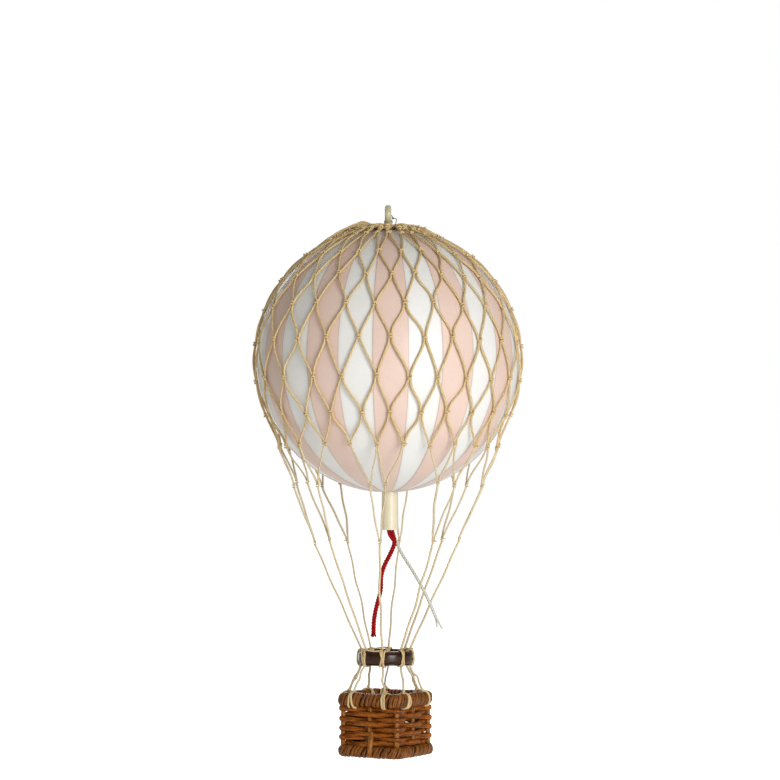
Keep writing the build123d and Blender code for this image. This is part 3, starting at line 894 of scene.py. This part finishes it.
hem = [shaken(at(hem_r, column(second_row_phase + 2 * half_step * k), hem_z), 0.5) for k in range(columns)]
runs = []
last_row = knots[-1]
for k, knot in enumerate(hem):
    runs.append(hitch(knot, outwards(knot)))
    if k % 3 == 1:
        runs.append(clipped(knot, outwards(knot)))
    for side in (-1, 1):
        longitude, latitude = last_row[(k if side > 0 else k - 1) % columns]
        aside = -side * degrees(0.3 / (net_r * cos(radians(latitude))))
        high = on_ball(net_r + 0.05, longitude + aside, latitude - 0.5)
        downward = unit(high - on_ball(net_r, longitude + aside, latitude + 6))
        low = knot + sideways(outwards(knot)) * side * 0.28 + lifted(knot_lift)
        length = np.linalg.norm(high - low)
        slack = wander.uniform(0.2, 0.5)
        leaving = unit(unit(high - low) + lifted(1.2))
        line = bezier(low, low + leaving * length * slack, high + downward * length * 0.35, high, 12)
        runs.append({"points": line, "thick": wander.uniform(0.9, 1.05)})
crossing("net_hem_twine", runs, twine_r, "net_hem", straw_twine)


def group_angle(group):
    """The direction of a group of three hem knots, of their joined line and of its lashing."""
    return second_row_phase + 360 / gather_count * group


gathers = {(group, side): shaken(at(gather_r, group_angle(group) + side * gather_half_angle, gather_z), 0.7)
           for group in range(gather_count) for side in (-1, 1)}
joins = [shaken(at(join_r, group_angle(group), join_z), 0.8) for group in range(gather_count)]
runs = []
for (group, side), knot in gathers.items():
    middle = 3 * group
    tangent = sideways(outwards(knot))
    runs.append(hitch(knot, outwards(knot), 0.9))
    for hem_index, aside in ((middle, -side), (middle + side, side)):
        high = hem[hem_index % columns] - lifted(knot_lift) + tangent * -aside * 0.2
        low = knot + tangent * aside * 0.2 + lifted(knot_lift)
        runs.append({"points": slack_line(low, high, 18, bow=0.9), "thick": wander.uniform(0.9, 1.15)})
crossing("gather_upper_twine", runs, line_r, "gather_lines_upper", line_twine)

runs = []
for group, knot in enumerate(joins):
    tangent = sideways(outwards(knot))
    runs.append(hitch(knot, outwards(knot), 0.9))
    if group % 2:
        runs.append(clipped(knot, outwards(knot)))
    for side in (-1, 1):
        low = knot + tangent * side * 0.2 + lifted(knot_lift)
        high = gathers[(group, side)] - lifted(knot_lift)
        line = slack_line(low, high, 22, bow=1.1, ends=0.2)
        runs.append({"points": line, "thick": wander.uniform(0.95, 1.15)})
crossing("gather_lower_twine", runs, line_r, "gather_lines_lower", line_twine)

runs = []
ring_seats = [at(ring_middle_r, group_angle(group), ring_top_z + 0.35) + hang
              for group in range(gather_count)]
for group, seat in enumerate(ring_seats):
    line = slack_line(seat, joins[group] - lifted(knot_lift), 38, bow=1.2, ends=0.0)
    runs.append({"points": line, "thick": wander.uniform(1.05, 1.25)})
crossing("ring_lines_twine", runs, line_r, "ring_lines", line_twine)


# ---------------------------------------------------------------------------------------------------
# The load ring, turned from dark wood with a slightly barrelled outside and polished, and the eight
# lashings of twine round its wall that the lines end in.
ring_height = 3.8
ring_outer_r = 7.35
ring_inner_r = 5.75
ring_barrel = 0.12  # that the outside bulges
profile_steps = 6  # along each side of the hoop's section
dark_wood = surface("dark wood", (0.065, 0.022, 0.005), (0.004, 0.0015, 0.0005), 420, 4000, 0.24, relief=0.5,
                    gloss=0.35, coat=0.05)
grain = dark_wood.node_tree
run_of_grain = {"Vector": grain.nodes["Texture Coordinate"].outputs["Object"], "Scale": (0.35, 0.35, 2.5)}
feed(grain.nodes["Group"], {"Vector": added(grain, "Mapping", run_of_grain).outputs["Vector"]})

half_height = ring_height / 2
half_wall = (ring_outer_r - ring_barrel - ring_inner_r) / 2
profile = []
for side, (x, z) in enumerate(((-1, 1), (1, 1), (1, -1), (-1, -1))):
    for k in range(profile_steps):
        go = 2 * k / profile_steps
        across, height = ((x + go, z), (x, z - go), (x - go, z), (x, z + go))[side]
        radius = ring_inner_r + half_wall * (1 + across)
        if across > 0.95:
            radius += 0.14 * (1 - height**2) - 0.3 * abs(height) ** 8
        elif across < -0.95:
            radius += 0.3 * abs(height) ** 8
        level = ring_top_z - half_height * (1 - height)
        if abs(height) > 0.95:
            level -= 0.35 * abs(across) ** 6 * height
        profile.append((radius * mm, 0, level * mm))
hoop_mesh = bpy.data.meshes.new("load_ring_hoop")
hoop_mesh.from_pydata(profile, [(k, (k + 1) % len(profile)) for k in range(len(profile))], [])
hoop = bpy.data.objects.new("load_ring_hoop", hoop_mesh)
scene.collection.objects.link(hoop)
bpy.ops.object.select_all(action="DESELECT")
hoop.select_set(True)
bpy.context.view_layer.objects.active = hoop
bpy.ops.object.mode_set(mode="EDIT")
bpy.ops.mesh.select_all(action="SELECT")
bpy.ops.mesh.spin(steps=96, angle=2 * pi, center=(0, 0, 0), axis=(0, 0, 1))
bpy.ops.mesh.select_all(action="SELECT")
bpy.ops.mesh.remove_doubles(threshold=0.01 * mm)
bpy.ops.mesh.normals_make_consistent(inside=False)
bpy.ops.mesh.select_all(action="SELECT")
bpy.ops.transform.translate(value=tuple(hang * mm))
bpy.ops.object.mode_set(mode="OBJECT")
bpy.ops.object.shade_smooth_by_angle(angle=radians(50))
fixed(hoop, "load_ring", "dark_wood", dark_wood, "load_ring")


def squarish(turn, power):
    """A point by its direction on a square with sides of 2 and soft corners."""
    x, z = cos(turn), sin(turn)
    push = (abs(x) ** power + abs(z) ** power) ** (-1 / power)
    return x * push, z * push


def bound(centre, out, half_width, half_height, turns, spread, lean, radius):
    """Twine taken round and round a bar. The bar's section is upright, and out points away from the axis."""
    out = unit(np.asarray(out, float))
    along = np.cross((0, 0, 1.0), out)
    points, facing = [], []
    count = round(turns * 16)
    begin = wander.uniform(0, 2 * pi)
    for k in range(count + 1):
        t = begin + 2 * pi * turns * k / count
        x, z = squarish(t, 3.4)
        share = k / count - 0.5
        aside = spread * share + lean * sin(t + 0.6) + 0.1 * sin(2.3 * t)
        grow = 0.06 * abs(sin(0.5 * t))
        points.append(centre + out * x * (half_width + radius + grow) + along * aside
                      + lifted(z * (half_height + radius + grow)))
        facing.append(out * x + lifted(z))
    return {"points": points, "facing": np.array(facing)}


runs = []
wall = (ring_outer_r - ring_inner_r) / 2
run_on_lashings = (2, 4, 7)  # whose twine goes on along the ring's edge
for group in range(gather_count):
    angle = group_angle(group)
    centre = at(ring_middle_r, angle, ring_top_z - ring_height / 2) + hang
    out = at(1, angle, 0)
    for layer, (turns, spread, lean) in enumerate(((1.7, 1.0, 0.25), (1.1, -0.7, -0.5))):
        turn = bound(centre, out, wall - 0.1 + 0.14 * layer, ring_height / 2 - 0.1 + 0.12 * layer,
                     turns, spread * wander.uniform(0.8, 1.15), lean * wander.uniform(0.7, 1.3), 0.2)
        turn["thick"] = wander.uniform(0.85, 1.1)
        runs.append(turn)
    if group in run_on_lashings:
        edge = [
            at(ring_outer_r - 0.25 + 0.15 * sin(4 * t), angle + 45 * t,
               ring_top_z + 0.22 + 0.12 * sin(7 * t)) + hang
            for t in np.linspace(0.02, 0.98, 16)
        ]
        runs.append({"points": edge, "thick": 0.9})
lashed = strands("ring_lashing_twine", runs, round_outline(0.25, 6))
fixed(lashed, "load_ring", "straw_twine", straw_twine, "ring_lashings")


# ---------------------------------------------------------------------------------------------------
# The eight lines that carry the basket, crinkled where the twine was knotted before, and the turns of
# twine that tie them round the basket's rim.
ring_bottom_z = ring_top_z - ring_height
rim_z = -127.9
rim_height = 3.5
basket_side = 19.8
border_width = 3.0
tie_half_pitch = 5.0
doubled_lines = (3, 6)


def tie_way(group):
    """The direction of the basket's side that a group's line comes down to."""
    return 90 * ((group + 1) // 2 - 1)


def tie_spot(group, z):
    """The middle of the rim's width where a group's line is tied."""
    along = tie_half_pitch if group % 2 == 0 else -tie_half_pitch
    way = tie_way(group)
    return at(basket_side / 2 - border_width / 2, way, z) + at(along, way + 90, 0) + hang


runs = []
for group in range(gather_count):
    top = at(ring_middle_r, group_angle(group), ring_bottom_z + 0.15) + hang
    low = tie_spot(group, rim_z + 0.4)
    for strand in range(2 if group in doubled_lines else 1):
        a, b = shaken(top, 0.25), shaken(low, 0.25)
        b[2] = rim_z + 0.35
        route = [a, shaken(a * 0.7 + b * 0.3, 0.45), shaken((a + b) / 2, 0.6),
                 shaken(a * 0.3 + b * 0.7, 0.45), b]
        runs.append({"points": paced(smooth_line(route, 6), 0.45), "thick": wander.uniform(0.95, 1.2)})
carried = strands("basket_line_twine", runs, round_outline(line_r, 6))
carried.data.materials.append(line_twine)
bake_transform(carried)
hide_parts("basket_lines")


def legged(centre, out, first, last, bulge):
    """One leg of a tie: from the knot on top of the border down its face and under it."""
    along = np.cross((0, 0, 1.0), out)
    points = []
    for t in np.linspace(0, 1, 22):
        x, z = squarish(radians(90 - 195 * t), 3)
        aside = first + (last - first) * t + bulge * sin(pi * t)
        points.append(centre + out * x * (border_width / 2 + tie_stand) + along * aside
                      + lifted(z * (rim_height / 2 + tie_stand)))
    return {"points": points, "thick": wander.uniform(0.95, 1.15)}


tie_stand = 0.24
tie_legs = (
    ((0.0, 0.3, -0.5), (0.1, -0.2, 0.5), (-0.1, -0.5, 0.1)),
    ((-0.2, 0.0, 1.0), (0.1, -0.9, 0.2)),
    ((-0.3, 1.1, 0.5), (0.0, 0.4, 0.7)),
    ((0.1, -0.9, -0.1), (0.0, 1.0, -0.1)),
)
runs = []
for group in range(gather_count):
    centre = tie_spot(group, rim_z - rim_height / 2)
    out = at(1, tie_way(group), 0)
    for leg in tie_legs[group % 4]:
        for face in (1, -1):
            runs.append(legged(centre, out * face, *(value * face for value in leg)))
    runs.append(hitch(tie_spot(group, rim_z + 0.35), out, 0.8))
    if group % 2:
        runs.append(clipped(tie_spot(group, rim_z + 0.5), out))
tied = strands("rim_tie_twine", runs, round_outline(0.27, 6))
fixed(tied, "basket", "straw_twine", straw_twine, "rim_ties")


# ---------------------------------------------------------------------------------------------------
# The basket's two borders: a core of round cane, wrapped close with split cane that was stained brown, with
# shade painted along the edges where each turn meets the next. The foot has the same border as the rim, a
# little lower.
border_corner_r = 2.6
foot_top_z = -141.7
foot_height = 3.0
rattan_border = surface("rattan border", (0.46, 0.155, 0.022), (0.014, 0.002, 0.0005), 1.1, 5.0, 0.26,
                        relief=0.9, depth=0.12, coat=0.15, gloss=0.15, along=(1.6, 1.6, 0.28))
rattan_core = surface("rattan core", (0.03, 0.009, 0.003), (0.01, 0.003, 0.001), 1.3, 6.0, 0.6, gloss=0.2,
                      along=(2.2, 2.2, 0.3))


def painted_edge_shade(material, edge_share):
    """Paints shade on a cane along its two edges, where it meets the next turn."""
    tree = material.node_tree
    parts = added(tree, "SeparateXYZ", {0: tree.nodes["Attribute"].outputs["Vector"]})
    near = added(tree, "MapRange", {"Value": worked(tree, "ABSOLUTE", parts.outputs["X"]), "From Min": 0.72,
                                    "From Max": 0.98, "To Max": edge_share})
    # painted shade: a near-black tone mixed in along both edges of the cane's section
    edged(material, near.outputs["Result"], (0.012, 0.003, 0.001))


# painted shade between the turns of the border cane
painted_edge_shade(rattan_border, 0.85)


def rounded_square(half, corner, count):
    """Even points of a closed square with round corners, and the outward direction at each."""
    points = []
    for quarter in range(4):
        for share in range(9):
            turn = radians(90 * quarter + 90 * share / 8 - 90)
            signs = np.array([1 if quarter in (0, 1) else -1, 1 if quarter in (1, 2) else -1])
            points.append((half - corner) * signs + corner * np.array([cos(turn), sin(turn)]))
    points.append(points[0])
    line = np.array([(*p, 0) for p in points])
    marks = np.concatenate([[0], np.cumsum(np.linalg.norm(np.diff(line, axis=0), axis=1))])
    wanted = np.arange(count) * marks[-1] / count
    even = np.stack([np.interp(wanted, marks, line[:, k]) for k in range(3)], axis=1)
    ahead = unit(np.roll(even, -1, 0) - np.roll(even, 1, 0))
    return even, np.cross(ahead, (0, 0, 1.0)), marks[-1]


def wrapped(name, top, height, width, wraps, lean, node):
    """A square border: its dark core and the cane wrapped round it."""
    fine = 2400
    edge, out, around = rounded_square(basket_side / 2, border_corner_r, fine)
    middle = edge - out * width / 2 + hang + lifted(top - height / 2)
    half_width, half_height = width / 2 - 0.22, height / 2 - 0.2
    steps = 16
    points, facing, thick = [], [], []
    bulge = [wander.uniform(-0.16, 0.12) for k in range(wraps + 2)]
    slip = [wander.uniform(-0.22, 0.22) for k in range(wraps + 2)]
    for k in range(wraps * steps):
        t = 2 * pi * k / steps
        turn, share = k // steps, (k % steps) / steps
        x, z = squarish(t, 2.7)
        grow = bulge[turn] * (1 - share) + bulge[turn + 1] * share
        aside = slip[turn] * (1 - share) + slip[turn + 1] * share
        where = int((k / (wraps * steps) + (lean * z * 0.5 + aside) / around) * fine) % fine
        points.append(middle[where] + out[where] * x * (half_width + grow)
                      + lifted(z * (half_height + grow * 0.5)))
        facing.append(out[where] * x + lifted(z))
        thick.append(1.04 + 0.1 * sin(k * 0.37) + 0.08 * sin(k * 0.093))
    cane = {"points": points, "facing": np.array(facing), "thick": thick, "closed": True}
    piece = strands(name + "_cane", [cane], flat_outline(around / wraps, 0.62))
    fixed(piece, "basket", "rattan_border", rattan_border, node)
    sparse = slice(0, fine, 30)
    turns = [radians(22.5 + 45 * k) for k in range(8)]
    section = [((half_height - 0.1) * 1.04 * cos(t), (half_width - 0.1) * 1.04 * sin(t)) for t in turns]
    course = {"points": middle[sparse], "facing": out[sparse], "closed": True}
    core = strands(name + "_core", [course], section)
    fixed(core, "basket", "rattan_border", rattan_core, node)


wrapped("top_border", rim_z, rim_height, border_width, 60, 0.7, "top_border")
wrapped("bottom_border", foot_top_z, foot_height, border_width, 64, 0.9, "bottom_border")


# ---------------------------------------------------------------------------------------------------
# The basket's wall: eight upright stakes of round cane, and eight weavers of half-round cane that go
# outside one stake and inside the next. The floor is plain woven from flat strips.
stake_r = 0.6
rim_under_z = -131.4
weaver_rows = 8
weaver_width = 1.1
weaver_height = 1.5
wall_line = 8.25
side_swing = 0.95
corner_swing = 0.42
corner_stand = 0.33
under_ties = 0.25
corner_stake_share = 1.1
rattan_stake = surface("rattan stake", (0.52, 0.20, 0.030), (0.08, 0.018, 0.003), 1.3, 6.0, 0.35, relief=0.5,
                       depth=0.05, coat=0.1, gloss=0.2, along=(1.5, 1.5, 0.45))
rattan_weaver = surface("rattan weaver", (0.52, 0.145, 0.009), (0.04, 0.006, 0.0005), 0.9, 5.0, 0.26,
                        relief=0.8, depth=0.1, coat=0.15, gloss=0.15, along=(1.2, 1.2, 0.2))
# painted shade along the upper and lower edges of each weaver, where one row meets the next
painted_edge_shade(rattan_weaver, 0.8)
rattan_base = surface("rattan base", (0.30, 0.10, 0.020), (0.10, 0.028, 0.006), 400, 3000, 0.5, relief=0.5,
                      gloss=0.3)
coated("basket_base", rattan_base)

runs = []
for x in (-1, 0, 1):
    for y in (-1, 0, 1):
        if x or y:
            foot = hang + np.array([x * wall_line, y * wall_line, foot_top_z + 0.03])
            head = hang + np.array([x * wall_line, y * wall_line, rim_under_z - 0.03])
            lean = np.array([wander.uniform(-0.12, 0.12), wander.uniform(-0.12, 0.12), 0])
            runs.append({
                "points": bezier(foot, foot * 0.7 + head * 0.3 + lean, foot * 0.3 + head * 0.7 - lean,
                                 head, 9),
                "thick": corner_stake_share if x and y else 1.0,
            })
folded_end = ((1.0, 0.6, 3.6), (1.1, 1.35, 2.2), (1.15, 1.7, 0.3), (1.15, 2.1, -1.3), (1.05, 1.95, -2.7))
tail = [(x, -wall_line - out, foot_top_z + up) for x, out, up in folded_end]
runs.append({"points": paced(smooth_line(tail), 0.4) + hang, "thick": 1.15})
stakes = strands("stake_canes", runs, round_outline(stake_r, 10))
fixed(stakes, "basket", "rattan_stake", rattan_stake, "stakes")

pitch = (rim_under_z - under_ties - foot_top_z) / weaver_rows
for row in range(weaver_rows):
    sign = 1 if row % 2 == 0 else -1
    turned = corner_swing + (corner_stand if sign > 0 else 0)
    reach = wall_line + sign * turned
    line = []
    for quarter in range(4):
        spin = radians(90 * quarter)
        for share in np.linspace(-1, 1, 25)[:-1]:
            swing = side_swing + (turned - side_swing) * abs(share) ** 3
            out = wall_line - sign * swing * cos(pi * share)
            x, y = share * reach, -out
            line.append((x * cos(spin) - y * sin(spin), x * sin(spin) + y * cos(spin), 0.0))
    line = np.array(line)
    for k in range(3):
        line = (np.roll(line, 1, 0) + 2 * line + np.roll(line, -1, 0)) / 4
    count = len(line)
    turn = np.arange(count) * 2 * pi / count
    begin = wander.uniform(0, 2 * pi)
    line[:, 2] = (rim_under_z - under_ties - pitch * (row + 0.5) + 0.1
                  + 0.2 * np.sin(2 * turn + begin) + 0.14 * np.sin(5 * turn + 2 * begin))
    line = line + hang * np.array([1, 1, 0])
    ahead = unit(np.roll(line, -1, 0) - np.roll(line, 1, 0))
    facing = np.cross(ahead, (0, 0, 1.0))
    thick = 1 + 0.1 * np.sin(3 * turn + begin) + 0.07 * np.sin(8 * turn + 2 * begin)
    cane = strands(
        f"weaver_{row + 1}_cane",
        [{"points": line, "facing": facing, "closed": True, "thick": thick}],
        flat_outline(weaver_height, weaver_width),
    )
    fixed(cane, "basket", "rattan_weaver", rattan_weaver, f"weaver_{row + 1}")
